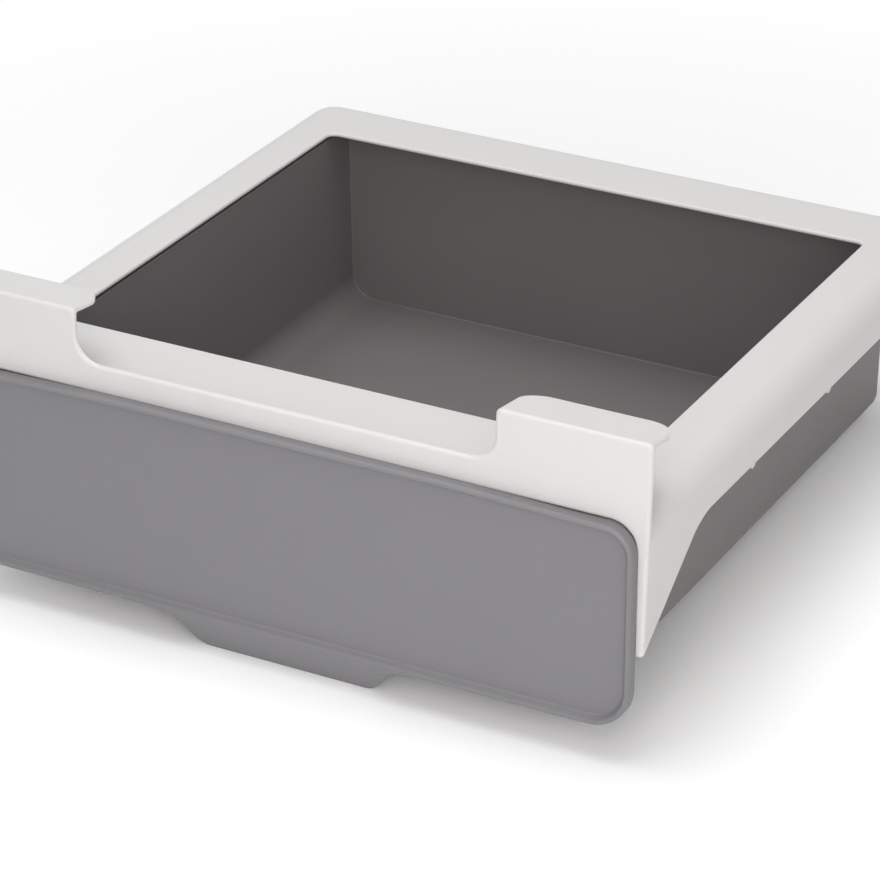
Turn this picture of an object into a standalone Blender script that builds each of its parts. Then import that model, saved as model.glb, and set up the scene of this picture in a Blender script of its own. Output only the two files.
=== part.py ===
"""Under-shelf drawer: a white frame that hooks over a shelf's front edge, and a grey drawer that runs in it.

Metres, +Z up, -Y towards the person who pulls the drawer. The origin is on the frame's flat top, in the
middle of the front rail, where the front of the shelf's underside rests.
"""

import math

import bmesh
import bpy
from mathutils import Matrix

# Frame
frame_width = 0.320
frame_depth = 0.3147
wall = 0.002
side_drop = 0.0200
side_lean = 0.0011
edge_round = 0.015
corner_round = 0.016

# Opening in the frame's top, and the rail in front of it
opening_width = 0.2638
opening_length = 0.2267
opening_round = 0.004
opening_lip = 0.0015
front_rail = 0.0453

# Fascia, with an ear at each end that hooks over the shelf
sill_rise = 0.0085
sill_fillet = 0.011
ear_width = 0.0658
ear_rise = 0.0313
ear_round = 0.0025
hook_depth = 0.0246
hook_fall = 0.0025
hook_round = 0.015
front_edge_round = 0.0018
bend_round = 0.0006

# Legs beside the drawer's front, and the gussets behind them
leg_drop = 0.061
gusset_foot = 0.006
gusset_length = 0.0472
knee_round = 0.012

# Half-round pegs that carry the runners
peg_radius = 0.0025
peg_bite = 0.001
peg_proud = 0.002
peg_setback = 0.0002
first_peg = 0.0933
peg_pitch = 0.076
snap_thickness = 0.0012
snap_catch = 0.0009
snap_rise = 0.0013
snap_width = 0.0036

# Runners
runner_thickness = 0.002
runner_width = 0.0095
stop_rise = 0.0042
stop_length = 0.003
stop_width = 0.0026
travel = 0.215

# Bin
bin_wall = 0.002
bin_drop = 0.0922
bin_draft = 0.0015
bin_fillet = 0.0115
side_channel = 0.01285
rear_rim = 0.0128
rim_corner = 0.0115
front_pocket = 0.005

# Drawer front
panel_inset = 0.0055
panel_top_gap = 0.0024
panel_lap = 0.0009
panel_depth = 0.0050
panel_round = 0.012
panel_low_round = 0.018
panel_edge_round = 0.0018
passage_lap = 0.0009
face_recess = 0.0008
face_wall = 0.0018
rim_width = 0.0021
pull_drop = 0.0143
pull_setback = 0.0070
pull_flat_width = 0.0780
pull_shoulder = 0.0165
pull_corner_round = 0.0032
pull_shoulder_round = 0.008
pull_wall = 0.0022

# Pegs of the drawer front and their sockets on the bin
stud_radius = 0.002
socket_wall = 0.002
stud_columns = 3
stud_column_pitch = 0.095
stud_row_pitch = 0.044
stud_depth = 0.004

# Clearances
seat_gap = 0.0003
pass_gap = 0.0007
front_gap = 0.0005
socket_gap = 0.0003
skin_step = 0.00005

# Roundness of the mesh
ROUND_STEPS = 6
SMALL_STEPS = 3
STUD_SIDES = 16

# Heights and places that follow from the sizes above
half_width = frame_width / 2
fascia_rear = -front_rail / 2
fascia_front = fascia_rear - wall
opening_front = front_rail / 2
opening_rear = opening_front + opening_length
frame_rear = fascia_front + frame_depth
ear_inner = half_width - ear_width
gusset_drop = leg_drop - gusset_foot

panel_half = half_width - panel_inset
passage_half = panel_half - passage_lap
passage_top = -panel_top_gap - passage_lap
passage_round = panel_round - passage_lap
leg_outer = half_width - side_lean
leg_tip_round = 0.38 * (leg_outer - passage_half)

peg_top = peg_bite - side_drop
runner_bottom = peg_top + seat_gap
runner_top = runner_bottom + runner_thickness
runner_front = fascia_rear + seat_gap
runner_rear = frame_rear - corner_round

rim_half = passage_half - pass_gap
rim_inset = half_width - rim_half
rim_rear = frame_rear - rim_inset
rim_top = passage_top - pass_gap
rim_round = passage_round - pass_gap
rim_bottom = runner_top + seat_gap

bin_rear = rim_rear - rear_rim
panel_rear = fascia_front - front_gap
bin_front = panel_rear + seat_gap
front_wall_outer = bin_front + front_pocket
front_wall_inner = front_wall_outer + bin_wall

panel_front = panel_rear - panel_depth
panel_top = -panel_top_gap
panel_bottom = -bin_drop - panel_lap
face_front = panel_front + face_recess
face_rear = face_front + face_wall

# Outlines are drawn in the view that shows them, and given their depth along the third axis
PLAN_VIEW = Matrix.Identity(4)
FRONT_VIEW = Matrix(((1, 0, 0), (0, 0, -1), (0, 1, 0))).to_4x4()
SIDE_VIEW = Matrix(((0, 0, 1), (1, 0, 0), (0, 1, 0))).to_4x4()
DEPTH_SIGN = {"plan": 1, "front": -1, "side": 1}
VIEW_MATRIX = {"plan": PLAN_VIEW, "front": FRONT_VIEW, "side": SIDE_VIEW}


def clear_scene():
    """Remove what the scene holds."""
    for item in list(bpy.data.objects):
        bpy.data.objects.remove(item)


def new_collection(name):
    """A collection under the scene."""
    group = bpy.data.collections.new(name)
    bpy.context.scene.collection.children.link(group)
    return group


clear_scene()
product = new_collection("under_shelf_drawer")
cutters = new_collection("cutters")


def plastic(name, colour, roughness):
    """A plain moulded plastic."""
    material = bpy.data.materials.new(name)
    material.use_nodes = True
    shader = material.node_tree.nodes["Principled BSDF"]
    shader.inputs["Base Color"].default_value = (*colour, 1)
    shader.inputs["Roughness"].default_value = roughness
    shader.inputs["Metallic"].default_value = 0
    return material


white_plastic = plastic("white_plastic", (0.80, 0.79, 0.78), 0.45)
runner_plastic = plastic("runner_plastic", (0.86, 0.86, 0.84), 0.35)
bin_plastic = plastic("bin_grey", (0.22, 0.22, 0.225), 0.5)
front_plastic = plastic("front_grey", (0.25, 0.25, 0.255), 0.5)


def fillet_points(before, corner, after, radius, steps):
    """Points along a round corner, or the corner itself where it stays sharp."""
    if radius <= 0:
        return [corner]
    to_before = ((before[0] - corner[0]), (before[1] - corner[1]))
    to_after = ((after[0] - corner[0]), (after[1] - corner[1]))
    length_before = math.hypot(*to_before)
    length_after = math.hypot(*to_after)
    unit_before = (to_before[0] / length_before, to_before[1] / length_before)
    unit_after = (to_after[0] / length_after, to_after[1] / length_after)
    cosine = unit_before[0] * unit_after[0] + unit_before[1] * unit_after[1]
    half_angle = math.acos(max(-1.0, min(1.0, cosine))) / 2
    reach = radius / math.tan(half_angle)
    to_centre = radius / math.sin(half_angle)
    middle = (unit_before[0] + unit_after[0], unit_before[1] + unit_after[1])
    middle_length = math.hypot(*middle)
    centre = (
        corner[0] + middle[0] / middle_length * to_centre,
        corner[1] + middle[1] / middle_length * to_centre,
    )
    start = (corner[0] + unit_before[0] * reach, corner[1] + unit_before[1] * reach)
    end = (corner[0] + unit_after[0] * reach, corner[1] + unit_after[1] * reach)
    start_angle = math.atan2(start[1] - centre[1], start[0] - centre[0])
    end_angle = math.atan2(end[1] - centre[1], end[0] - centre[0])
    turn = (end_angle - start_angle + math.pi) % (2 * math.pi) - math.pi
    points = []
    for step in range(steps + 1):
        angle = start_angle + turn * step / steps
        points.append((centre[0] + radius * math.cos(angle), centre[1] + radius * math.sin(angle)))
    return points


def rounded(corners, steps=ROUND_STEPS):
    """A closed outline from corners given as (across, up, radius)."""
    points = []
    count = len(corners)
    for index, (across, up, radius) in enumerate(corners):
        before = corners[index - 1][:2]
        after = corners[(index + 1) % count][:2]
        points += fillet_points(before, (across, up), after, radius, steps)
    return points


def mirrored(right_half):
    """Both halves of an outline whose right half runs from the middle round to the middle."""
    left_half = [(-across, up, radius) for across, up, radius in reversed(right_half)]
    return right_half + left_half


def box_corners(low, high, left, right, radius=0.0):
    """The four corners of a rectangle in a view."""
    return [(left, low, radius), (right, low, radius), (right, high, radius), (left, high, radius)]


def mesh_object(name, mesh, group=cutters):
    """An object for a mesh; tools that only cut or join go in the cutters' collection."""
    item = bpy.data.objects.new(name, mesh)
    group.objects.link(item)
    if group == cutters:
        item.hide_render = True
        item.display_type = "WIRE"
    return item


def slab(name, points, near, far, view, group=cutters):
    """A flat outline with thickness, from near to far along the axis that its view looks along."""
    curve = bpy.data.curves.new(name, "CURVE")
    curve.dimensions = "2D"
    curve.fill_mode = "BOTH"
    curve.extrude = (far - near) / 2
    spline = curve.splines.new("POLY")
    spline.points.add(len(points) - 1)
    for point, (across, up) in zip(spline.points, points):
        point.co = (across, up, 0, 1)
    spline.use_cyclic_u = True
    drawing = bpy.data.objects.new(name + "_outline", curve)
    cutters.objects.link(drawing)
    bpy.context.view_layer.update()
    evaluated = drawing.evaluated_get(bpy.context.evaluated_depsgraph_get())
    mesh = bpy.data.meshes.new_from_object(evaluated)
    bpy.data.objects.remove(drawing)
    sign = DEPTH_SIGN[view]
    for vertex in mesh.vertices:
        vertex.co.z = sign * (far if vertex.co.z * sign > 0 else near)
    mesh.transform(VIEW_MATRIX[view])
    shape = bmesh.new()
    shape.from_mesh(mesh)
    bmesh.ops.remove_doubles(shape, verts=shape.verts, dist=1e-6)
    bmesh.ops.dissolve_limit(shape, angle_limit=0.01, verts=shape.verts, edges=shape.edges)
    bmesh.ops.recalc_face_normals(shape, faces=shape.faces)
    shape.to_mesh(mesh)
    shape.free()
    return mesh_object(name, mesh, group)


def combine(target, tool, operation):
    """A Boolean that stays on the target."""
    modifier = target.modifiers.new(tool.name, "BOOLEAN")
    modifier.operation = operation
    modifier.solver = "EXACT"
    modifier.object = tool


def join(target, tool):
    combine(target, tool, "UNION")


def cut(target, tool):
    combine(target, tool, "DIFFERENCE")


def round_front_edges(item, front, radius, steps):
    """Round the outline of a slab's front face, which looks along -Y."""
    shape = bmesh.new()
    shape.from_mesh(item.data)
    edges = []
    for edge in shape.edges:
        on_front = all(abs(vertex.co.y - front) < 1e-6 for vertex in edge.verts)
        facing = [face.normal.y < -0.9 for face in edge.link_faces]
        if on_front and any(facing) and not all(facing):
            edges.append(edge)
    bmesh.ops.bevel(
        shape, geom=edges, offset=radius, segments=steps, profile=0.5, affect="EDGES", clamp_overlap=False
    )
    shape.to_mesh(item.data)
    shape.free()


def hood(half, front, rear, low, high, lean, top_round, plan_round, open_front):
    """A skin with rounded top edges and hanging walls, open below, as an open surface facing out."""
    shape = bmesh.new()
    bmesh.ops.create_cube(shape, size=1)
    for vertex in shape.verts:
        at_top = vertex.co.z > 0
        side = 1 if vertex.co.x > 0 else -1
        vertex.co.x = side * (half if at_top else half - lean)
        vertex.co.y = rear if vertex.co.y > 0 else front
        vertex.co.z = high if at_top else low
    gone = [face for face in shape.faces if face.normal.z < -0.5 or (open_front and face.normal.y < -0.5)]
    bmesh.ops.delete(shape, geom=gone, context="FACES")
    upright = [
        edge
        for edge in shape.edges
        if all(abs(vertex.co.y - rear) < 1e-6 for vertex in edge.verts)
        and abs(edge.verts[0].co.z - edge.verts[1].co.z) > (high - low) / 2
    ]
    bmesh.ops.bevel(
        shape,
        geom=upright,
        offset=plan_round,
        segments=ROUND_STEPS,
        profile=0.5,
        affect="EDGES",
        clamp_overlap=False,
    )
    top_edges = [
        edge
        for edge in shape.edges
        if all(abs(vertex.co.z - high) < 1e-6 for vertex in edge.verts) and len(edge.link_faces) == 2
    ]
    top_edges = [
        edge for edge in top_edges if not all(abs(vertex.co.y - front) < 1e-6 for vertex in edge.verts)
    ]
    bmesh.ops.bevel(
        shape,
        geom=top_edges,
        offset=top_round,
        segments=ROUND_STEPS,
        profile=0.5,
        affect="EDGES",
        clamp_overlap=False,
    )
    bmesh.ops.recalc_face_normals(shape, faces=shape.faces)
    top_face = max(shape.faces, key=lambda face: face.calc_center_median().z)
    if top_face.normal.z < 0:
        bmesh.ops.reverse_faces(shape, faces=shape.faces)
    mesh = bpy.data.meshes.new("skin")
    shape.to_mesh(mesh)
    shape.free()
    return mesh


def thicken(item, thickness):
    """Give an open surface its wall, on the inside."""
    modifier = item.modifiers.new("wall", "SOLIDIFY")
    modifier.thickness = thickness
    modifier.offset = -1
    modifier.use_even_offset = True


def wall_lean(height):
    """How far the side wall has leant in at a height."""
    return side_lean * -height / leg_drop


def wall_inside(height):
    """The side wall's inner face at a height, which follows the rounding near the top."""
    above_tangent = max(0.0, edge_round + height)
    reach = math.sqrt((edge_round - wall) ** 2 - above_tangent**2)
    return half_width - skin_step - edge_round + reach - wall_lean(height)


runner_outer = wall_inside(runner_top) - seat_gap
runner_inner = runner_outer - runner_width
bin_half_top = runner_inner - side_channel


def peg_places():
    """Where the pegs stand along each side wall."""
    first = fascia_rear + first_peg
    count = 1 + int((runner_rear - peg_radius - first) / peg_pitch)
    return [first + peg_pitch * index for index in range(count)]


def fascia_outline():
    """The fascia's front view: sill, ears, legs and the passage for the drawer."""
    right = [
        (ear_inner, sill_rise, sill_fillet),
        (ear_inner, ear_rise, ear_round),
        (half_width, ear_rise, ear_round),
        (half_width, 0, 0),
        (leg_outer, -leg_drop, leg_tip_round),
        (passage_half, -leg_drop, leg_tip_round),
        (passage_half, passage_top, passage_round),
    ]
    return rounded(mirrored(right))


def behind_fascia_outline():
    """What is cut away behind the fascia and under the ears' plates, which fall towards their rear."""
    far_rear = fascia_front + hook_depth + wall
    low = -leg_drop - wall
    front = fascia_rear
    fall = hook_fall / hook_depth
    under_front = ear_rise - wall - fall * wall
    under_rear = ear_rise - wall - fall * (hook_depth + wall)
    return rounded(
        [(front, low, 0), (far_rear, low, 0), (far_rear, under_rear, 0), (front, under_front, bend_round)]
    )


def hook_trim_outline(side):
    """What is cut away round an ear's plate, seen from above, to round its rear corners."""
    rear = fascia_front + hook_depth
    front = rear - hook_round - wall
    beyond = rear + wall
    inner = side * (ear_inner - skin_step)
    outer = side * (half_width + skin_step)
    past_inner = side * (ear_inner - wall)
    past_outer = side * (half_width + wall)
    return rounded(
        [
            (past_inner, front, 0),
            (past_inner, beyond, 0),
            (past_outer, beyond, 0),
            (past_outer, front, 0),
            (outer, front, 0),
            (outer, rear + skin_step, hook_round),
            (inner, rear + skin_step, hook_round),
            (inner, front, 0),
        ]
    )


def tilt_ears(block):
    """Lower the rear end of the ears' tops, so that their plates fall towards the rear."""
    rear = fascia_front + hook_depth
    for vertex in block.data.vertices:
        if abs(vertex.co.y - rear) < 1e-6 and vertex.co.z > ear_rise - 1.01 * ear_round:
            vertex.co.z -= hook_fall


def build_fascia():
    """The fascia and its ears' plates, from one block with its front edges rounded."""
    fascia = slab("fascia", fascia_outline(), fascia_front, fascia_front + hook_depth, "front")
    round_front_edges(fascia, fascia_front, front_edge_round, SMALL_STEPS)
    tilt_ears(fascia)
    cut(fascia, slab("behind_fascia", behind_fascia_outline(), -frame_width, frame_width, "side"))
    low = ear_rise - 2 * wall - hook_fall
    for side, name in ((-1, "left_hook_trim"), (1, "right_hook_trim")):
        cut(fascia, slab(name, hook_trim_outline(side), low, ear_rise + wall, "plan"))
    return fascia


def below_walls_outline():
    """What is cut away under the side walls: straight, then down the gusset behind the leg."""
    far_rear = frame_rear + wall
    far_low = -leg_drop - wall
    slope = (gusset_drop - side_drop) / gusset_length
    foot = fascia_front
    foot_height = -gusset_drop - slope * wall
    return rounded(
        [
            (far_rear, -side_drop, 0),
            (fascia_rear + gusset_length, -side_drop, knee_round),
            (foot, foot_height, 0),
            (foot, far_low, 0),
            (far_rear, far_low, 0),
        ]
    )


def peg_outline(place):
    """A peg's end: round below, flat where the runner lies on it."""
    centre = peg_radius - peg_proud - side_drop
    half_chord = math.asin((peg_top - centre) / peg_radius)
    sweep = math.pi + 2 * half_chord
    steps = 2 * ROUND_STEPS
    points = []
    for step in range(steps + 1):
        angle = half_chord - sweep * step / steps
        points.append((place + peg_radius * math.cos(angle), centre + peg_radius * math.sin(angle)))
    return points


def snap_outline(side):
    """A snap on a peg's inner end, seen from the front, with its catch over the runner."""
    inner = runner_inner - seat_gap
    outer = inner + snap_thickness
    catch = outer + snap_catch
    under = runner_top + seat_gap
    top = under + snap_rise
    points = [
        (inner, peg_top - peg_bite),
        (outer, peg_top - peg_bite),
        (outer, under),
        (catch, under),
        (catch, under + snap_rise / 3),
        (outer, top),
        (inner, top),
    ]
    return [(side * across, up) for across, up in points]


def add_pegs(frame):
    """The pegs that carry the runners, each with a snap."""
    for side, side_name in ((-1, "left"), (1, "right")):
        outer = side * (half_width - wall_lean(-side_drop) - peg_setback)
        ends = sorted((outer, side * (runner_inner - seat_gap)))
        for index, place in enumerate(peg_places()):
            name = f"{side_name}_peg_{index + 1}"
            join(frame, slab(name, peg_outline(place), ends[0], ends[1], "side"))
            near, far = place - snap_width / 2, place + snap_width / 2
            join(frame, slab(name + "_snap", snap_outline(side), near, far, "front"))


def lip_relief(opening):
    """A slanted cutter that thins the opening's edge from below."""
    low = -wall - opening_lip / 2
    high = -opening_lip / 2
    relief = slab("lip_relief", rounded(opening), low, high, "plan")
    middle = (opening_front + opening_rear) / 2
    for vertex in relief.data.vertices:
        step = -opening_lip - vertex.co.z
        vertex.co.x += math.copysign(step, vertex.co.x)
        vertex.co.y += math.copysign(step, vertex.co.y - middle)
    return relief


def build_frame():
    """The white moulding."""
    front = fascia_rear - wall / 6
    half = half_width - skin_step
    skin = hood(half, front, frame_rear, -leg_drop, 0, side_lean, edge_round, corner_round, True)
    frame = mesh_object("shelf_frame", skin, product)
    thicken(frame, wall)
    cut(frame, slab("below_walls", below_walls_outline(), -frame_width, frame_width, "side"))
    join(frame, build_fascia())
    opening_half = opening_width / 2
    opening = box_corners(opening_front, opening_rear, -opening_half, opening_half, opening_round)
    cut(frame, slab("top_opening", rounded(opening), -2 * wall, wall, "plan"))
    cut(frame, lip_relief(opening))
    add_pegs(frame)
    frame.data.materials.append(white_plastic)
    return frame


def build_runner(side, name):
    """One strip with notches round the pegs' nibs and a stop at its front end."""
    inner = side * runner_inner
    outer = side * runner_outer
    strip = box_corners(runner_front, runner_rear, *sorted((inner, outer)))
    runner = slab(name, rounded(strip), runner_bottom, runner_top, "plan", product)
    notch_half = snap_width / 2 + seat_gap
    for index, place in enumerate(peg_places()):
        across = sorted((side * (runner_inner - wall), side * (runner_inner + snap_thickness)))
        notch = box_corners(place - notch_half, place + notch_half, *across)
        notch_name = f"{name}_notch_{index + 1}"
        cut(runner, slab(notch_name, rounded(notch), runner_bottom - wall, runner_top + wall, "plan"))
    near_end, far_end = runner_front + skin_step, runner_front + stop_length
    stop = box_corners(runner_bottom + seat_gap, runner_top + stop_rise, near_end, far_end)
    stop_side = sorted((side * (runner_inner + skin_step), side * (runner_inner + stop_width)))
    join(runner, slab(name + "_stop", rounded(stop), stop_side[0], stop_side[1], "side"))
    runner.data.materials.append(runner_plastic)
    return runner


def bin_half(height):
    """Half the bin's outer width at a height."""
    return bin_half_top - bin_draft * (rim_top - height) / (bin_drop + rim_top)


def bin_section(inset, top, floor_inset):
    """The bin's cross-section: leaning sides and soft corners along the floor."""
    low = -bin_drop + floor_inset
    radius = bin_fillet + bin_wall - inset
    low_half = bin_half(low) - inset
    top_half = bin_half(top) - inset
    right = [(low_half, low, radius), (top_half, top, 0)]
    return rounded(mirrored(right))


def build_bin():
    """The grey tray with its turned-down rim."""
    section = bin_section(0, rim_top - bin_wall / 2, 0)
    tray = slab("drawer_bin", section, bin_front + skin_step, bin_rear, "front", product)
    rim_skin = hood(rim_half, bin_front, rim_rear, rim_bottom, rim_top, 0, rim_round, rim_corner, False)
    rim = mesh_object("rim", rim_skin)
    thicken(rim, bin_wall)
    join(tray, rim)
    inside = bin_section(bin_wall, bin_wall, bin_wall)
    cut(tray, slab("inside", inside, front_wall_inner, bin_rear - bin_wall, "front"))
    pocket = bin_section(bin_wall, rim_top - bin_wall, bin_wall)
    cut(tray, slab("front_pocket", pocket, bin_front - bin_wall, front_wall_outer, "front"))
    rib_front = runner_front + stop_length + travel + seat_gap
    rib_bottom = runner_top + 2 * seat_gap + snap_rise + seat_gap
    rib_top = rim_top - bin_wall / 2
    rib_inner = bin_half(rim_bottom) - bin_wall / 2
    rib_outer = rim_half - bin_wall / 2
    for side, name in ((-1, "left_rib"), (1, "right_rib")):
        rib = [
            (side * rib_inner, rib_bottom, 0),
            (side * rib_outer, rib_bottom, 0),
            (side * rib_outer, rib_top, 0.8 * rim_round),
            (side * rib_inner, rib_top, 0),
        ]
        join(tray, slab(name, rounded(rib), rib_front, rib_front + bin_wall, "front"))
    add_sockets(tray)
    tray.data.materials.append(bin_plastic)
    return tray


def stud_places():
    """Where the drawer front is pegged to the bin."""
    middle = -(bin_drop - rim_top) / 2
    columns = [stud_column_pitch * (index - (stud_columns - 1) / 2) for index in range(stud_columns)]
    return [(across, middle + side * stud_row_pitch / 2) for across in columns for side in (-1, 1)]


def post(name, radius, near, far, across, up):
    """A round post along Y."""
    shape = bmesh.new()
    upright = Matrix.Rotation(math.radians(90), 4, "X")
    place = Matrix.Translation((across, (near + far) / 2, up)) @ upright
    bmesh.ops.create_cone(
        shape,
        cap_ends=True,
        segments=STUD_SIDES,
        radius1=radius,
        radius2=radius,
        depth=far - near,
        matrix=place,
    )
    mesh = bpy.data.meshes.new(name)
    shape.to_mesh(mesh)
    shape.free()
    return mesh_object(name, mesh)


def add_sockets(tray):
    """Sockets on the bin's front wall, inside the pocket that the drawer front closes."""
    bore = stud_radius + socket_gap
    deep = front_wall_outer + bin_wall / 2
    for index, (across, up) in enumerate(stud_places()):
        join(tray, post(f"socket_{index + 1}", bore + socket_wall, bin_front, deep, across, up))
    for index, (across, up) in enumerate(stud_places()):
        end = bin_front + stud_depth + socket_gap
        cut(tray, post(f"bore_{index + 1}", bore, bin_front - bin_wall, end, across, up))


def pull_shape():
    """The finger pull: a plate that sweeps back under the panel, trimmed to its front outline."""
    root = panel_bottom + 0.8 * panel_edge_round
    foot = panel_bottom - pull_drop
    front = panel_front + 0.05 * panel_edge_round
    run = math.hypot(pull_setback, root - foot)
    across = pull_wall * (root - foot) / run
    up = pull_wall * pull_setback / run
    past = 1.25
    section = [
        (front, root, 0),
        (front + past * pull_setback, root - past * (root - foot), 0),
        (front + past * pull_setback + across, root - past * (root - foot) + up, 0),
        (front + across, root + up, 0),
    ]
    flat_half = pull_flat_width / 2
    top_half = flat_half + pull_shoulder
    wide_half = top_half + 2 * pull_shoulder_round
    blend = panel_bottom + 0.4 * panel_edge_round
    high = root + 2 * up
    right = [
        (wide_half, high, 0),
        (wide_half, blend, 0),
        (top_half, blend, pull_shoulder_round),
        (flat_half, foot, pull_corner_round),
    ]
    left = [(-across_place, height, radius) for across_place, height, radius in reversed(right)]
    pull = slab("finger_pull", rounded(section), -wide_half - wall, wide_half + wall, "side")
    behind = panel_rear + 2 * pull_setback
    trim = slab("pull_trim", rounded(right + left), panel_front - wall, behind, "front")
    combine(pull, trim, "INTERSECT")
    return pull


def panel_outline(inset):
    """The panel's outline, or one set in from it, with larger corners below."""
    side = panel_half - inset
    low, high = panel_bottom + inset, panel_top - inset
    return rounded(mirrored([(side, low, panel_low_round - inset), (side, high, panel_round - inset)]))


def build_front():
    """The grey front panel with its raised rim, finger pull and studs."""
    panel = slab("drawer_front", panel_outline(0), panel_front, panel_rear, "front", product)
    round_front_edges(panel, panel_front, panel_edge_round, SMALL_STEPS)
    cut(panel, slab("face_recess", panel_outline(rim_width), panel_front - wall, face_front, "front"))
    hollow = panel_outline(panel_edge_round)
    cut(panel, slab("back_hollow", hollow, face_rear, panel_rear + wall, "front"))
    join(panel, pull_shape())
    for index, (across, up) in enumerate(stud_places()):
        end = bin_front + stud_depth
        join(panel, post(f"stud_{index + 1}", stud_radius, face_rear - face_wall / 2, end, across, up))
    panel.data.materials.append(front_plastic)
    return panel


def smooth(item):
    """Round faces look round, and flat ones flat."""
    item.data.shade_smooth()
    item.data.set_sharp_from_angle(angle=math.radians(30))


def drawer_empty():
    """An empty on the line that the drawer slides along."""
    slide = bpy.data.objects.new("drawer_slide", None)
    slide.location = (0, bin_front, rim_bottom)
    product.objects.link(slide)
    bpy.context.view_layer.update()
    return slide


frame = build_frame()
left_runner = build_runner(-1, "left_runner")
right_runner = build_runner(1, "right_runner")
drawer_bin = build_bin()
drawer_front = build_front()
slide = drawer_empty()
for piece in (drawer_bin, drawer_front):
    piece.parent = slide
    piece.matrix_parent_inverse = slide.matrix_world.inverted()
for piece in (frame, left_runner, right_runner, drawer_bin, drawer_front):
    smooth(piece)
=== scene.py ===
import math

import bmesh
import bpy
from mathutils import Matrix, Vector


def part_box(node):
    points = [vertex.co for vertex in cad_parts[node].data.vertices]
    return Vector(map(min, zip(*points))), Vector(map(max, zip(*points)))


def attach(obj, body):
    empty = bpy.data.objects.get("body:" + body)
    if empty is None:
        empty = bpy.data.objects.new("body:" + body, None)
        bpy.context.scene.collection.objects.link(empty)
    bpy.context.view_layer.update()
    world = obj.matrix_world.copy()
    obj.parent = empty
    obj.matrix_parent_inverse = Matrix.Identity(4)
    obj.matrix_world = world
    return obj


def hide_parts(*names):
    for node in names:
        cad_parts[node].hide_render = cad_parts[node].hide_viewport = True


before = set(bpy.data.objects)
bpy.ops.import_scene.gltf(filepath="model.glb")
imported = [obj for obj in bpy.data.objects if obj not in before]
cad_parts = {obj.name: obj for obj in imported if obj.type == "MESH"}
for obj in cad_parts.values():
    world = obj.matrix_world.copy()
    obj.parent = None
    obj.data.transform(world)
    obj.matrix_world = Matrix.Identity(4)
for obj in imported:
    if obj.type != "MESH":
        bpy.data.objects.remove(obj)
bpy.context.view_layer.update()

bl_info = {
    "name": "Under-shelf drawer",
    "version": (1, 0, 0),
    "blender": (4, 5, 0),
    "location": "View3D > Sidebar > Drawer",
    "description": "Models an under-shelf drawer's mouldings in detail and sets them on a plain stage",
    "category": "Add Mesh",
}

FRAME_LOW, FRAME_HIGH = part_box("shelf_frame")
BIN_LOW, BIN_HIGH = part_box("drawer_bin")
FRONT_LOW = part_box("drawer_front")[0]
RUNNER_LOW, RUNNER_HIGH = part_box("right_runner")

# Points within CLOSE are one place. Faces that would coincide in a cut lie a SKIN_STEP apart.
CLOSE = 1e-5
SKIN_STEP = 0.00005

# Clearances: between a piece and its seat, and between pieces that pass each other.
SEAT_GAP = 0.0003
PASS_GAP = 0.0007
TRAVEL = 0.215

# How far a cutting block stands past what it cuts.
SPARE = 0.001

# The runners, and the snaps that hold them on the pegs.
RUNNER_THICKNESS = 0.002
RUNNER_CORNER = 0.002
STOP_LENGTH = 0.003
NOTCH_DEPTH = 0.0012
NOTCH_HALF = 0.0021
SNAP_WALL = 0.0012
SNAP_HALF = 0.0018
SNAP_ROOT = 0.001
SNAP_RISE = 0.0016
CATCH_HALF = 0.0017
CATCH_REACH = 0.0021
CATCH_TOP = 0.0015
CATCH_SLOPE = 0.0008

# The frame's inner bends, the bin's sockets and ribs, and the drawer front's pegs and shoulders.
BEND_ROUND = 0.0012
SOCKET_WALL = 0.002
BORE_DEPTH = 0.0043
STUD_DEPTH = 0.004
RIB_CLEAR = 0.0035
CROWN_START = 0.02
SHOULDER_ROUND = 0.008
SHOULDER_SPARE = 0.016

# Where long flat faces are divided.
FRAME_CUTS = {"x": (-0.15, -0.09, 0, 0.09, 0.15), "y": (0.05, 0.14, 0.23), "z": (-0.01, 0.002)}
BIN_CUTS = {"x": (-0.1385, -0.06, 0.06, 0.1385), "y": (0.08, 0.17, 0.2675), "z": (-0.05,)}

# The stage: the middle of the drawer on the floor, where the floor starts and ends to turn plain white,
# and how much light it adds where it is seen.
MIDDLE = (0, 0.12, FRONT_LOW.z)
SHADOW_REACH = 0.36
WHITE_REACH = 0.56
FLOOR_GLOW = 0.08
FLOOR_SIZE = 8
FOOT_SETBACK = 0.0005

# The lamps: name, place, aim, size, power and colour.
LAMPS = (
    ("overhead", (-0.1, 0.0, 1.28), (0, 0.12, 0), 1.2, 12.3, (1.0, 1.0, 1.0)),
    ("beside_camera", (0.55, -1.0, 0.85), (0, 0.05, 0), 0.6, 3.9, (1.0, 0.97, 0.96)),
    ("low_front", (0.3, -1.35, 0.32), (0, 0.05, 0), 0.6, 4.1, (1.0, 0.96, 0.95)),
    ("low_right", (0.9, -0.9, 0.35), (0, 0.05, 0), 0.6, 3.4, (1.0, 0.97, 0.96)),
)
CAMERA_PLACE = (0.688, -1.18435, 0.680)
CAMERA_AIM = (-0.419, 0.787, -0.453)
CAMERA_LENS = 158.48


# Sizes and colours


def length(label, description, default):
    """A size that a user can change."""
    return bpy.props.FloatProperty(
        name=label, description=description, default=default, min=0.0, precision=4, unit="LENGTH"
    )


def colour(label, description, default):
    """A colour that a user can change."""
    return bpy.props.FloatVectorProperty(
        name=label, description=description, default=default, size=3, min=0.0, max=1.0, subtype="COLOR"
    )


def factor(label, description, default):
    """A share from 0 to 1 that a user can change."""
    return bpy.props.FloatProperty(
        name=label, description=description, default=default, min=0.0, max=1.0, subtype="FACTOR"
    )


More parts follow.
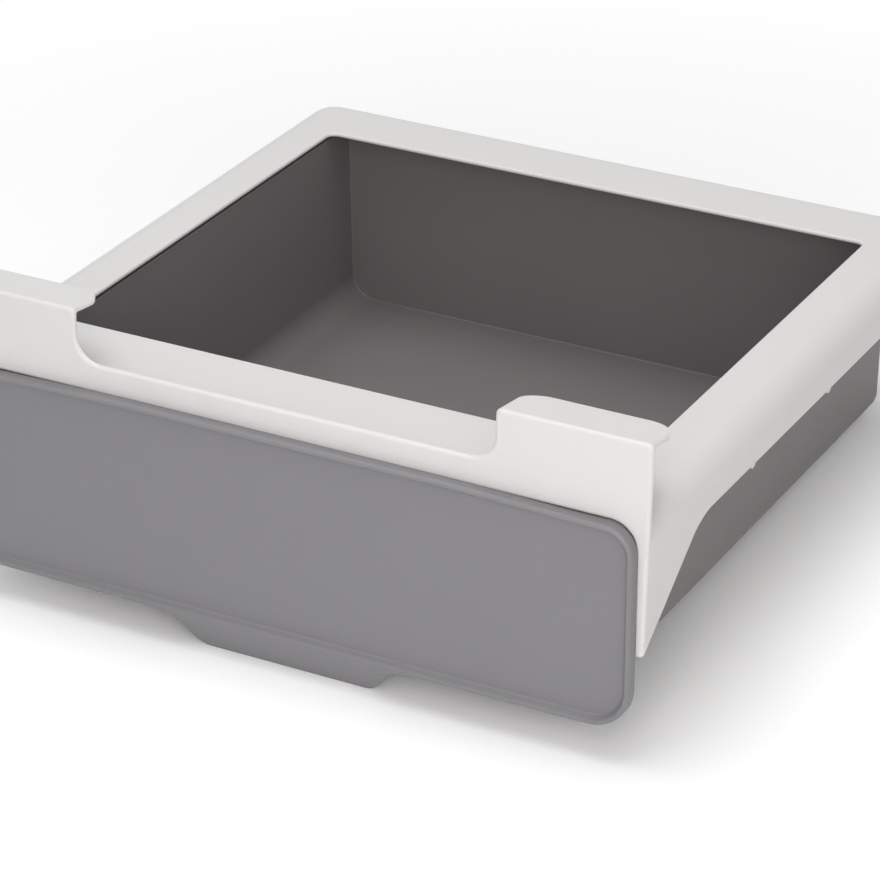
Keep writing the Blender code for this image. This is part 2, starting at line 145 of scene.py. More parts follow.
class FrameSizes(bpy.types.PropertyGroup):
    """Sizes of the white frame."""

    half: length("Half width", "From the middle to the side walls' outer face, at the flat top", 0.1590)
    front: length("Front", "How far the fascia's face stands before the origin", -FRAME_LOW.y)
    rear: length("Rear", "How far the rear wall stands behind the origin", 0.2882)
    wall: length("Wall", "Thickness of the moulding", 0.002)
    wall_drop: length("Wall drop", "Depth of the side and rear walls below the flat top", 0.0216)
    wall_lean: length("Wall lean", "How far the side walls come in down to the legs' tips", 0.0013)
    edge_round: length("Edge round", "Radius between the flat top and the walls", 0.0133)
    corner_round: length("Corner round", "Radius of the rear corners seen from above", 0.0155)
    opening_half: length("Opening half width", "From the middle to the opening's side", 0.1319)
    opening_front: length("Opening front", "Where the opening starts", 0.02265)
    opening_rear: length("Opening rear", "Where the opening ends", 0.24935)
    opening_round: length("Opening round", "Radius of the opening's corners", 0.004)
    opening_lip: length("Opening lip", "Thickness of the opening's edge", 0.0015)
    sill_rise: length("Sill rise", "Height of the sill between the ears", 0.0085)
    sill_fillet: length("Sill fillet", "Radius between the sill and each ear", 0.011)
    ear_inner: length("Ear inner side", "From the middle to each ear", 0.0939)
    ear_rise: length("Ear rise", "Height of the ears", FRAME_HIGH.z)
    ear_round: length("Ear round", "Radius of the ears' top corners", 0.0025)
    hook_depth: length("Hook depth", "From the fascia's face to the plates' rear edge", 0.0246)
    hook_fall: length("Hook fall", "How far the plates fall towards their rear edge", 0.0033)
    hook_round: length("Hook round", "Radius of the plates' rear corners", 0.0125)
    face_round: length("Face round", "Radius along the outline of the fascia's face", 0.0016)
    leg_drop: length("Leg drop", "Depth of the legs' tips below the flat top", 0.0606)
    leg_round: length("Leg round", "Radius of the legs' tips", 0.0017)
    gusset_drop: length("Gusset drop", "Where the gusset's slope meets the fascia", 0.0586)
    gusset_length: length("Gusset length", "How far the gusset runs back", 0.0474)
    knee_round: length("Knee round", "Radius where the gusset meets the wall's lower edge", 0.009)
    passage_half: length("Passage half width", "From the middle to the inner side of each leg", 0.1536)
    passage_top: length("Passage top", "Depth of the passage's upper edge", 0.0039)
    passage_round: length("Passage round", "Radius of the passage's upper corners", 0.0111)
    peg_radius: length("Peg radius", "Radius of the pegs under the runners", 0.0025)
    peg_proud: length("Peg proud", "How far the pegs stand below the walls", 0.0017)
    first_peg: length("First peg", "From the fascia's rear face to the first peg", 0.0966)
    peg_pitch: length("Peg pitch", "Distance between pegs", 0.0764)
    peg_setback: length("Peg setback", "How far the pegs' ends stay inside the walls' face", 0.0002)
    fine_edge: length("Fine edge", "Radius of the edges that look sharp", 0.0002)


class BinSizes(bpy.types.PropertyGroup):
    """Sizes of the grey bin."""

    front: length("Front", "How far the bin starts before the origin", -BIN_LOW.y)
    rear: length("Rear", "Where the bin's rear wall ends", 0.27015)
    drop: length("Drop", "Depth of the bin's underside", -BIN_LOW.z)
    top_half: length("Half width at the top", "From the middle to the outer wall below the rim", 0.13501)
    draft: length("Draft", "How far each side wall comes in down to the floor", 0.0015)
    fillet: length("Outer fillet", "Outer radius along the floor's sides", 0.0119)
    inner_fillet: length("Inner fillet", "Inner radius along the floor's sides", 0.0115)
    wall: length("Wall", "Thickness of the moulding", 0.002)
    rim_half: length("Rim half width", "From the middle to the rim's outer side", BIN_HIGH.x)
    rim_rear: length("Rim rear", "Where the rim ends", BIN_HIGH.y)
    rim_top: length("Rim top", "Depth of the rim's flat top", -BIN_HIGH.z)
    rim_bottom: length("Rim bottom", "Depth of the rim's lower edge", 0.0164)
    rim_round: length("Rim round", "Radius of the rim's upper edge", 0.0104)
    rim_corner: length("Rim corner", "Radius of the rim's rear corners seen from above", 0.0115)
    pocket: length("Front pocket", "Depth of the space behind the drawer front", 0.005)
    fine_edge: length("Fine edge", "Radius of the edges that look sharp", 0.0004)


class FrontSizes(bpy.types.PropertyGroup):
    """Sizes of the grey drawer front."""

    half: length("Half width", "From the middle to the panel's side", 0.1547)
    top: length("Top", "Depth of the panel's upper edge in the middle", 0.0019)
    top_crown: length("Top crown", "How much lower the upper edge is at the ends", 0.0026)
    bottom: length("Bottom", "Depth of the panel's lower edge in the middle", 0.0923)
    low_crown: length("Lower crown", "How much higher the lower edge is at the ends", 0.0004)
    face: length("Face", "How far the panel's rim stands before the origin", -FRONT_LOW.y)
    back: length("Back", "How far the panel's back stands before the origin", 0.0249)
    corner_round: length("Upper corner round", "Radius of the panel's upper corners", 0.0115)
    low_round: length("Lower corner round", "Radius of the panel's lower corners", 0.0178)
    edge_round: length("Edge round", "Radius of the panel's outer edge", 0.0016)
    rim_crest: length("Rim crest", "From the panel's outline to the rim's inner crest", 0.0017)
    rim_slope: length("Rim slope", "Width of the slope from the crest to the face", 0.0024)
    recess: length("Recess", "Depth of the face behind the rim", 0.0033)
    wall: length("Wall", "Thickness behind the face", 0.0018)
    pull_drop: length("Pull drop", "Depth of the finger pull's lower edge", -FRONT_LOW.z)
    pull_setback: length("Pull setback", "How far the finger pull sweeps back", 0.007)
    pull_half: length("Pull half width", "Half width of the finger pull's lower edge", 0.0395)
    pull_shoulder: length("Pull shoulder", "How much wider each side is at the top", 0.0123)
    pull_corner: length("Pull corner round", "Radius of the finger pull's lower corners", 0.0037)
    pull_wall: length("Pull wall", "Thickness of the finger pull", 0.0022)
    stud_radius: length("Stud radius", "Radius of the pegs that hold the front on the bin", 0.002)
    column_pitch: length("Column pitch", "Distance between the pegs' columns", 0.095)
    row_pitch: length("Row pitch", "Distance between the pegs' rows", 0.044)
    fine_edge: length("Fine edge", "Radius of the edges that look sharp", 0.0004)


class RunnerSizes(bpy.types.PropertyGroup):
    """Sizes of the two runners."""

    inner: length("Inner side", "From the middle to each runner", RUNNER_LOW.x)
    outer: length("Outer side", "From the middle to each runner's outer side", 0.1563)
    thickness: length("Thickness", "Height of the strip", RUNNER_THICKNESS)
    stop_length: length("Stop length", "Length of the stop at the front end", STOP_LENGTH)
    stop_width: length("Stop width", "Width of the stop at the front end", 0.0026)
    fine_edge: length("Fine edge", "Radius of the edges that look sharp", 0.0003)


class Finishes(bpy.types.PropertyGroup):
    """Colours of the plastics, and the stage."""

    frame_colour: colour("Frame", "White plastic of the frame", (0.641, 0.635, 0.630))
    runner_colour: colour("Runners", "White plastic of the runners", (0.70, 0.70, 0.69))
    bin_colour: colour("Bin", "Grey plastic of the bin", (0.176, 0.170, 0.168))
    front_colour: colour("Front", "Grey plastic of the drawer front", (0.189, 0.186, 0.195))
    floor_colour: colour("Floor", "Colour of the floor", (0.98, 0.98, 0.98))
    sky: factor("Surround", "Strength of the light from all round", 0.33)


# Modelling by hand


def set_down():
    """Back to object mode with nothing selected."""
    if bpy.context.object and bpy.context.object.mode == "EDIT":
        bpy.ops.object.mode_set(mode="OBJECT")
    bpy.ops.object.select_all(action="DESELECT")


def pick_up(item):
    """Select one piece alone, in object mode."""
    set_down()
    item.select_set(True)
    bpy.context.view_layer.objects.active = item


def block(name, low, high):
    """A box between two corners, with its place in its mesh."""
    set_down()
    middle = [(near + far) / 2 for near, far in zip(low, high)]
    bpy.ops.mesh.primitive_cube_add(size=1, location=middle)
    item = bpy.context.object
    item.name = name
    item.scale = [far - near for near, far in zip(low, high)]
    bpy.ops.object.transform_apply()
    return item


def rod(name, radius, start, end, axis, sides=32):
    """A round bar from start to end along an axis, at the place that the other numbers give."""
    set_down()
    middle = [(near + far) / 2 for near, far in zip(start, end)]
    turn = {"x": (0, math.pi / 2, 0), "y": (math.pi / 2, 0, 0), "z": (0, 0, 0)}[axis]
    long = (Vector(end) - Vector(start)).length
    bpy.ops.mesh.primitive_cylinder_add(
        vertices=sides, radius=radius, depth=long, location=middle, rotation=turn
    )
    item = bpy.context.object
    item.name = name
    bpy.ops.object.transform_apply()
    return item


def span(side, inner, outer):
    """Two distances from the middle, on the left (-1) or the right (1), from low to high."""
    return sorted((side * inner, side * outer))


def near(first, second):
    """Whether two measures are the same."""
    return abs(first - second) < CLOSE


def at(**where):
    """A test for points at the given coordinates."""
    return lambda point: all(near(getattr(point, axis), value) for axis, value in where.items())


def open_for_editing(item, kind):
    """Enter edit mode on one piece with nothing selected."""
    pick_up(item)
    bpy.ops.object.mode_set(mode="EDIT")
    bpy.ops.mesh.select_mode(type=kind)
    bpy.ops.mesh.select_all(action="DESELECT")
    return bmesh.from_edit_mesh(item.data)


def must_find(item, found, what):
    """A selection that finds nothing is a mistake in the sizes."""
    if not found:
        raise RuntimeError(f"{item.name}: no {what} where the modelling expects them")


def pick_points(item, test):
    """Select the points whose place passes a test."""
    form = open_for_editing(item, "VERT")
    found = [point for point in form.verts if test(point.co)]
    for point in found:
        point.select_set(True)
    form.select_flush(True)
    bmesh.update_edit_mesh(item.data)
    must_find(item, found, "points")


def pick_edges(item, test, along=None, folds_only=False):
    """Select the edges whose two ends pass a test, and that run along an axis if one is given."""
    form = open_for_editing(item, "EDGE")
    found = []
    for edge in form.edges:
        first, second = edge.verts[0].co, edge.verts[1].co
        if not (test(first) and test(second)):
            continue
        run = (second - first).normalized()
        if along and abs(getattr(run, along)) < 0.9:
            continue
        if folds_only and (len(edge.link_faces) != 2 or edge.calc_face_angle() < 0.5):
            continue
        edge.select_set(True)
        found.append(edge)
    bmesh.update_edit_mesh(item.data)
    must_find(item, found, "edges")


def pick_faces(item, test):
    """Select the faces whose middle and normal pass a test."""
    form = open_for_editing(item, "FACE")
    found = [face for face in form.faces if test(face.calc_center_median(), face.normal)]
    for face in found:
        face.select_set(True)
    bmesh.update_edit_mesh(item.data)
    must_find(item, found, "faces")


def move(step):
    """Move what is selected."""
    bpy.ops.transform.translate(value=step, orient_type="GLOBAL")


def stretch(amount, centre):
    """Scale what is selected about a point."""
    bpy.ops.transform.resize(value=amount, orient_type="GLOBAL", center_override=centre)


def draw_out(step):
    """Extrude what is selected."""
    bpy.ops.mesh.extrude_region_move(TRANSFORM_OT_translate={"value": step})


def round_off(radius, steps):
    """Bevel the selected edges into a round."""
    bpy.ops.mesh.bevel(
        offset=radius,
        offset_type="OFFSET",
        segments=steps,
        profile=0.5,
        affect="EDGES",
        clamp_overlap=False,
    )


def slice_at(item, place, normal, clear_above=False):
    """Cut a piece with a plane, and take away what lies above it if asked."""
    open_for_editing(item, "FACE")
    bpy.ops.mesh.select_all(action="SELECT")
    bpy.ops.mesh.bisect(plane_co=place, plane_no=normal, use_fill=clear_above, clear_outer=clear_above)


def apply_tool(item, kind, **settings):
    """Add a modifier and apply it."""
    pick_up(item)
    modifier = item.modifiers.new(kind.title(), kind)
    for name, value in settings.items():
        setattr(modifier, name, value)
    bpy.ops.object.modifier_apply(modifier=modifier.name)


def combine(item, tool, operation):
    """Boolean one piece with another, which is used up."""
    apply_tool(item, "BOOLEAN", operation=operation, solver="EXACT", object=tool)
    must_find(item, item.data.polygons, "faces")
    bpy.data.objects.remove(tool)


def carve(item, tool):
    """Cut one piece with another."""
    combine(item, tool, "DIFFERENCE")


def weld(item, tool):
    """Make two pieces one."""
    combine(item, tool, "UNION")


def tidy(item):
    """Close the skin-deep steps that keep cuts clean, and join what is flat."""
    open_for_editing(item, "VERT")
    bpy.ops.mesh.select_all(action="SELECT")
    bpy.ops.mesh.remove_doubles(threshold=1.3 * SKIN_STEP)
    bpy.ops.mesh.dissolve_degenerate(threshold=SKIN_STEP)
    bpy.ops.mesh.dissolve_limited(angle_limit=math.radians(0.5))


def soften(item, radius):
    """Give edges that look sharp a fine round."""
    apply_tool(
        item,
        "BEVEL",
        width=radius,
        segments=2,
        limit_method="ANGLE",
        angle_limit=math.radians(35),
        use_clamp_overlap=False,
        miter_outer="MITER_ARC",
    )


def smooth(item):
    """Shade the rounds smooth and keep the flats flat."""
    open_for_editing(item, "VERT")
    bpy.ops.mesh.select_all(action="SELECT")
    bpy.ops.mesh.remove_doubles(threshold=CLOSE)
    bpy.ops.mesh.dissolve_degenerate(threshold=CLOSE)
    bpy.ops.mesh.normals_make_consistent(inside=False)
    pick_up(item)
    bpy.ops.object.shade_smooth_by_angle(angle=math.radians(50))
    apply_tool(item, "WEIGHTED_NORMAL", keep_sharp=True, mode="FACE_AREA_WITH_ANGLE", weight=80)


def split_up(item, cuts):
    """Divide long flat faces with cuts across each axis, so that none of them rings a hole."""
    for axis, places in cuts.items():
        normal = [1 if name == axis else 0 for name in "xyz"]
        for place in places:
            slice_at(item, [place * part for part in normal], normal)


# Finishes


class Number:
    """A value that varies over a surface; Python's operators add its Math nodes."""

    def __init__(self, tree, socket):
        self.tree = tree
        self.socket = socket

    def maths(self, operation, first, second):
        node = self.tree.nodes.new("ShaderNodeMath")
        node.operation = operation
        for place, value in enumerate((first, second)):
            if isinstance(value, Number):
                self.tree.links.new(value.socket, node.inputs[place])
            else:
                node.inputs[place].default_value = value
        return Number(self.tree, node.outputs[0])

    def __add__(self, other):
        return self.maths("ADD", self, other)

    def __radd__(self, other):
        return self.maths("ADD", other, self)

    def __sub__(self, other):
        return self.maths("SUBTRACT", self, other)

    def __rsub__(self, other):
        return self.maths("SUBTRACT", other, self)

    def __mul__(self, other):
        return self.maths("MULTIPLY", self, other)

    def __rmul__(self, other):
        return self.maths("MULTIPLY", other, self)


class Finish:
    """A material that is put together from nodes."""

    def __init__(self, name):
        self.material = bpy.data.materials.new(name)
        self.material.use_nodes = True
        self.tree = self.material.node_tree
        self.shader = self.tree.nodes["Principled BSDF"]
        self.output = self.tree.nodes["Material Output"]

    def node(self, kind, settings=None, **sockets):
        """Add a node: its settings first, then the values or links of its sockets."""
        node = self.tree.nodes.new(kind)
        for name, value in (settings or {}).items():
            setattr(node, name, value)
        for name, value in sockets.items():
            self.feed(node.inputs[name.replace("_", " ")], value)
        return node

    def feed(self, socket, value):
        """Link a socket, or set it."""
        if isinstance(value, Number):
            self.tree.links.new(value.socket, socket)
        elif isinstance(value, bpy.types.NodeSocket):
            self.tree.links.new(value, socket)
        else:
            socket.default_value = value

    def blend(self, share, first, second):
        """The first shader where the share is 0, and the second where it is 1."""
        mix = self.node("ShaderNodeMixShader")
        for socket, value in zip(mix.inputs, (share, first, second)):
            self.feed(socket, value)
        return mix.outputs[0]

    def number(self, socket):
        return Number(self.tree, socket)

    def place(self):
        """Where a point lies on the piece, in metres."""
        return self.node("ShaderNodeTexCoord").outputs["Object"]

    def noise(self, size, detail=2.0, roughness=0.5):
        """Cloudy noise from 0 to 1, whose clouds are about a size across."""
        node = self.node(
            "ShaderNodeTexNoise",
            {"noise_dimensions": "3D"},
            Vector=self.place(),
            Scale=1 / size,
            Detail=detail,
            Roughness=roughness,
        )
        return self.number(node.outputs["Fac"])


def seen_share(tree):
    """1 for the rays that show a surface to the camera, straight or in a gloss or through glass."""
    rays = tree.nodes.new("ShaderNodeLightPath")
    kinds = ("Is Camera Ray", "Is Glossy Ray", "Is Transmission Ray")
    straight, gloss, through = [Number(tree, rays.outputs[kind]) for kind in kinds]
    return straight + gloss + through


def moulded_plastic(name, shade, roughness, grain_depth, mottle):
    """Spark-grained moulded plastic: a fine grain in its relief, and faint clouds in colour and gloss."""
    finish = Finish(name)
    clouds = finish.noise(size=0.045, detail=3.0)
    flecks = finish.noise(size=0.0012, detail=2.0)
    grain = finish.noise(size=0.00045, detail=3.0, roughness=0.65)
    amount = 0.5 + (clouds - 0.5) * mottle + (flecks - 0.5) * (0.6 * mottle)
    darker = tuple(0.94 * part for part in shade)
    lighter = tuple(min(1.0, 1.06 * part) for part in shade)
    mix = finish.node("ShaderNodeMix", {"data_type": "RGBA"}, Factor=amount)
    mix.inputs[6].default_value = (*darker, 1)
    mix.inputs[7].default_value = (*lighter, 1)
    finish.feed(finish.shader.inputs["Base Color"], mix.outputs[2])
    gloss = roughness + (clouds - 0.5) * 0.08 + (grain - 0.5) * 0.10
    finish.feed(finish.shader.inputs["Roughness"], gloss)
    relief = finish.node("ShaderNodeBump", None, Height=grain, Strength=0.35, Distance=grain_depth)
    finish.feed(finish.shader.inputs["Normal"], relief.outputs["Normal"])
    return finish.material


def dress(item, material):
    """Give a piece one material."""
    item.data.materials.clear()
    item.data.materials.append(material)


# The white frame


def fascia_rear(sizes):
    return -sizes.front + sizes.wall


def frame_skin(sizes):
    """The flat top with its rounded sides and rear, open below, its front end inside the fascia."""
    half = sizes.half - SKIN_STEP
    front = fascia_rear(sizes) - sizes.wall / 6
    low = -sizes.leg_drop - sizes.wall
    skin = block("frame_moulding", (-half, front, low), (half, sizes.rear, 0))
    pick_faces(skin, lambda middle, normal: normal.z < -0.5 or normal.y < -0.5)
    bpy.ops.mesh.delete(type="FACE")
    pick_points(skin, at(z=low))
    stretch((1 + sizes.wall_lean * low / sizes.leg_drop / half, 1, 1), (0, 0, 0))
    pick_edges(skin, at(y=sizes.rear), along="z")
    round_off(sizes.corner_round, 18)
    pick_edges(skin, at(z=0), folds_only=True)
    round_off(sizes.edge_round, 14)
    apply_tool(skin, "SOLIDIFY", thickness=sizes.wall, offset=-1, use_even_offset=True)
    return skin


def below_walls(sizes):
    """A block that fills what lies under the side walls and behind the gussets."""
    reach = 2 * sizes.half
    knee = fascia_rear(sizes) + sizes.gusset_length
    end = -sizes.front - sizes.wall
    low = -sizes.leg_drop - 4 * sizes.wall
    tool = block("below_walls", (-reach, knee, low), (reach, sizes.rear + sizes.wall, -sizes.wall_drop))
    pick_faces(tool, lambda middle, normal: normal.y < -0.5)
    slope = (sizes.gusset_drop - sizes.wall_drop) / sizes.gusset_length
    draw_out((0, end - knee, 0))
    pick_edges(tool, lambda place: near(place.y, end) and place.z > low + sizes.wall, along="x")
    move((0, 0, -slope * (knee - end)))
    pick_edges(tool, at(y=knee, z=-sizes.wall_drop), along="x")
    round_off(sizes.knee_round, 10)
    return tool


def ear_plates_trim(sizes, side):
    """What is taken off round an ear's plate to round its rear corners."""
    wall = sizes.wall
    rear = -sizes.front + sizes.hook_depth
    front = rear - sizes.hook_round - wall
    low = sizes.ear_rise - 2 * wall - sizes.hook_fall
    high = sizes.ear_rise + wall
    inner = sizes.ear_inner - SKIN_STEP
    outer = sizes.half + sizes.wall_lean * sizes.ear_rise / sizes.leg_drop + SKIN_STEP
    left, right = span(side, inner - wall, outer + wall)
    trim = block("ear_trim", (left, front, low), (right, rear + wall, high))
    left, right = span(side, inner, outer)
    keep = block("ear_keep", (left, front - wall, low - wall), (right, rear, high + wall))
    pick_edges(keep, at(y=rear), along="z")
    round_off(sizes.hook_round, 14)
    carve(trim, keep)
    return trim


def frame_fascia(sizes):
    """The fascia with its sill, ears, legs and passage, and the ears' plates."""
    half = sizes.half
    front = -sizes.front
    rear = front + sizes.hook_depth
    top = sizes.ear_rise
    low = -sizes.leg_drop
    beyond = 2 * sizes.wall
    fascia = block("fascia", (-half, front, low), (half, rear, top))
    pick_points(fascia, at(z=low))
    stretch((1 - sizes.wall_lean / half, 1, 1), (0, 0, 0))
    pick_points(fascia, at(z=top))
    stretch((1 + sizes.wall_lean * top / sizes.leg_drop / half, 1, 1), (0, 0, 0))

    ears_gap = block(
        "ears_gap",
        (-sizes.ear_inner, front - beyond, sizes.sill_rise),
        (sizes.ear_inner, rear + beyond, top + beyond),
    )
    pick_edges(ears_gap, at(z=sizes.sill_rise), along="y")
    round_off(sizes.sill_fillet, 12)
    carve(fascia, ears_gap)

    passage = block(
        "passage",
        (-sizes.passage_half, front - beyond, low - beyond),
        (sizes.passage_half, rear + beyond, -sizes.passage_top),
    )
    pick_edges(passage, at(z=-sizes.passage_top), along="y")
    round_off(sizes.passage_round, 12)
    carve(fascia, passage)

    pick_edges(fascia, at(z=top), along="y", folds_only=True)
    round_off(sizes.ear_round, 6)
    pick_edges(fascia, at(z=low), along="y", folds_only=True)
    round_off(sizes.leg_round, 6)
    pick_edges(fascia, at(y=front), folds_only=True)
    round_off(sizes.face_round, 6)
    pick_points(fascia, lambda place: near(place.y, rear) and place.z > top - 1.01 * sizes.ear_round)
    move((0, 0, -sizes.hook_fall))

    fall = sizes.hook_fall / sizes.hook_depth
    under = top - sizes.wall - fall * sizes.wall
    start, end = fascia_rear(sizes), rear + sizes.wall
    behind = block("behind", (-2 * half, start, low - beyond), (2 * half, end, under))
    pick_edges(behind, at(y=end, z=under), along="x")
    move((0, 0, -fall * sizes.hook_depth))
    pick_edges(behind, at(y=start, z=under), along="x")
    round_off(BEND_ROUND, 4)
    carve(fascia, behind)
    for side in (-1, 1):
        carve(fascia, ear_plates_trim(sizes, side))
    return fascia


def cut_opening(frame_item, sizes):
    """Cut the opening in the flat top, thin its edge from below, and round its upper edge."""
    half = sizes.opening_half
    ends = (sizes.opening_front, sizes.opening_rear)
    opening = block("opening", (-half, ends[0], -2 * sizes.wall), (half, ends[1], sizes.wall))
    pick_edges(opening, lambda place: True, along="z")
    round_off(sizes.opening_round, 5)
    carve(frame_item, opening)
    low = -sizes.wall - sizes.opening_lip / 2
    high = -sizes.opening_lip / 2
    wide = low + sizes.opening_lip
    narrow = high + sizes.opening_lip
    relief = block("relief", (-half + wide, ends[0] + wide, low), (half - wide, ends[1] - wide, high))
    pick_edges(relief, lambda place: True, along="z")
    round_off(sizes.opening_round, 5)
    middle = (ends[0] + ends[1]) / 2
    long = (ends[1] - ends[0]) / 2
    pick_points(relief, at(z=high))
    stretch(((half - narrow) / (half - wide), (long - narrow) / (long - wide), 1), (0, middle, 0))
    carve(frame_item, relief)
    inside = half + CLOSE
    pick_edges(
        frame_item,
        lambda place: near(place.z, 0)
        and abs(place.x) < inside
        and ends[0] - CLOSE < place.y < ends[1] + CLOSE,
        folds_only=True,
    )
    round_off(0.7 * sizes.opening_lip, 4)


def peg_places(sizes):
    """Where the pegs lie from front to rear."""
    return [fascia_rear(sizes) + sizes.first_peg + sizes.peg_pitch * count for count in range(3)]


def add_pegs(frame_item, sizes):
    """The half-round pegs inside the walls' lower edge, each with a snap for its runner."""
    peg_top = RUNNER_LOW.z - SEAT_GAP
    centre = sizes.peg_radius - sizes.peg_proud - sizes.wall_drop
    outer = sizes.half - sizes.wall_lean * sizes.wall_drop / sizes.leg_drop - sizes.peg_setback
    inner = RUNNER_LOW.x - SEAT_GAP
    runner_top = peg_top + SEAT_GAP + RUNNER_THICKNESS
    for side in (-1, 1):
        for place in peg_places(sizes):
            left, right = span(side, inner, outer)
            peg = rod("peg", sizes.peg_radius, (left, place, centre), (right, place, centre), "x", 28)
            slice_at(peg, (0, 0, peg_top), (0, 0, 1), clear_above=True)
            soften(peg, sizes.fine_edge)
            weld(frame_item, peg)
            left, right = span(side, inner, inner + SNAP_WALL)
            low, high = peg_top - SNAP_ROOT, runner_top + SNAP_RISE
            snap = block("snap", (left, place - SNAP_HALF, low), (right, place + SNAP_HALF, high))
            weld(frame_item, snap)
            left, right = span(side, inner + SNAP_WALL / 2, inner + CATCH_REACH)
            low, high = runner_top + SEAT_GAP, runner_top + CATCH_TOP
            catch = block("catch", (left, place - CATCH_HALF, low), (right, place + CATCH_HALF, high))
            edge = side * (inner + CATCH_REACH)
            pick_edges(catch, at(x=edge, z=high), along="y")
            move((0, 0, -CATCH_SLOPE))
            weld(frame_item, catch)


def join_step(frame_item, sizes):
    """Close the skin-deep step where the side walls meet the fascia."""
    seam = fascia_rear(sizes)
    reach = sizes.half - sizes.wall_lean - 2 * SKIN_STEP
    pick_points(frame_item, lambda place: abs(place.y - seam) < SKIN_STEP and abs(place.x) > reach)
    bpy.ops.mesh.remove_doubles(threshold=3 * SKIN_STEP)


class DRAWER_OT_shelf_frame(bpy.types.Operator):
    """Model the white frame that hooks over the shelf"""

    bl_idname = "drawer.shelf_frame"
    bl_label = "Shelf frame"

    def execute(self, context):
        sizes = context.scene.drawer_frame
        finishes = context.scene.drawer_finishes
        moulding = frame_skin(sizes)
        weld(moulding, frame_fascia(sizes))
        carve(moulding, below_walls(sizes))
        cut_opening(moulding, sizes)
        join_step(moulding, sizes)
        tidy(moulding)
        soften(moulding, sizes.fine_edge)
        split_up(moulding, FRAME_CUTS)
        add_pegs(moulding, sizes)
        smooth(moulding)
        plastic = moulded_plastic(
            "frame_white", finishes.frame_colour, roughness=0.46, grain_depth=0.00006, mottle=0.35
        )
        dress(moulding, plastic)
        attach(moulding, "frame")
        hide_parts("shelf_frame")
        return {"FINISHED"}


def runner(name, side, sizes, places):
    """One strip with notches round the pegs' snaps and a stop at its front end."""
    front, rear, low = RUNNER_LOW.y, RUNNER_HIGH.y, RUNNER_LOW.z
    top = low + sizes.thickness
    left, right = span(side, sizes.inner, sizes.outer)
    strip = block(name, (left, front, low), (right, rear, top))
    slice_at(strip, (0, front + sizes.stop_length, 0), (0, 1, 0))
    slice_at(strip, (side * (sizes.inner + sizes.stop_width), 0, 0), (1, 0, 0))
    pick_faces(
        strip,
        lambda middle, normal: normal.z > 0.5
        and middle.y < front + sizes.stop_length
        and abs(middle.x) < sizes.inner + sizes.stop_width,
    )
    draw_out((0, 0, RUNNER_HIGH.z - top))
    pick_edges(strip, lambda place: near(abs(place.x), sizes.outer), along="z")
    round_off(RUNNER_CORNER, 5)
    left, right = span(side, sizes.inner - 2 * SPARE, sizes.inner + NOTCH_DEPTH)
    for place in places:
        start, end = place - NOTCH_HALF, place + NOTCH_HALF
        carve(strip, block("notch", (left, start, low - SPARE), (right, end, top + SPARE)))
    soften(strip, sizes.fine_edge)
    smooth(strip)
    return strip


class DRAWER_OT_runners(bpy.types.Operator):
    """Model the two white runners that lie on the frame's pegs"""

    bl_idname = "drawer.runners"
    bl_label = "Runners"

    def execute(self, context):
        sizes = context.scene.drawer_runners
        places = peg_places(context.scene.drawer_frame)
        finishes = context.scene.drawer_finishes
        plastic = moulded_plastic(
            "runner_white", finishes.runner_colour, roughness=0.34, grain_depth=0.00002, mottle=0.2
        )
        for name, side in (("left_runner", -1), ("right_runner", 1)):
            strip = runner(name + "_moulding", side, sizes, places)
            dress(strip, plastic)
            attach(strip, "frame")
            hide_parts(name)
        return {"FINISHED"}


# The grey bin


def tray_block(sizes, name, inset, front, rear, top):
    """A block with leaning sides and round lower edges, as the bin is outside or inside."""
    low = -sizes.drop + inset
    height = sizes.drop - sizes.rim_top
    high_half = sizes.top_half - sizes.draft * (-sizes.rim_top - top) / height - inset
    low_half = sizes.top_half - sizes.draft * (-sizes.rim_top - low) / height - inset
    tray = block(name, (-high_half, front, low), (high_half, rear, top))
    pick_points(tray, at(z=low))
    stretch((low_half / high_half, 1, 1), (0, 0, 0))
    pick_edges(tray, at(z=low), along="y")
    round_off(sizes.inner_fillet if inset else sizes.fillet, 14)
    return tray


def turned_rim(sizes):
    """The rim: a flat flange that turns down into a skirt."""
    half, rear = sizes.rim_half, sizes.rim_rear
    front, top, low = -sizes.front, -sizes.rim_top, -sizes.rim_bottom
    rim = block("rim", (-half, front, low), (half, rear, top))
    pick_faces(rim, lambda middle, normal: normal.z < -0.5)
    bpy.ops.mesh.delete(type="FACE")
    pick_edges(rim, at(y=rear), along="z")
    round_off(sizes.rim_corner, 14)
    open_for_editing(rim, "EDGE")
    form = bmesh.from_edit_mesh(rim.data)
    for edge in form.edges:
        on_top = all(near(point.co.z, top) for point in edge.verts)
        in_front = all(near(point.co.y, front) for point in edge.verts)
        if on_top and not in_front and len(edge.link_faces) == 2:
            edge.select_set(True)
    bmesh.update_edit_mesh(rim.data)
    round_off(sizes.rim_round, 12)
    apply_tool(rim, "SOLIDIFY", thickness=sizes.wall, offset=-1, use_even_offset=True)
    return rim


def stud_places(front_sizes, bin_sizes):
    """Where the drawer front is pegged to the bin: across and up."""
    middle = -(bin_sizes.drop + bin_sizes.rim_top) / 2
    columns = [front_sizes.column_pitch * step for step in (-1, 0, 1)]
    return [(across, middle + side * front_sizes.row_pitch / 2) for across in columns for side in (-1, 1)]


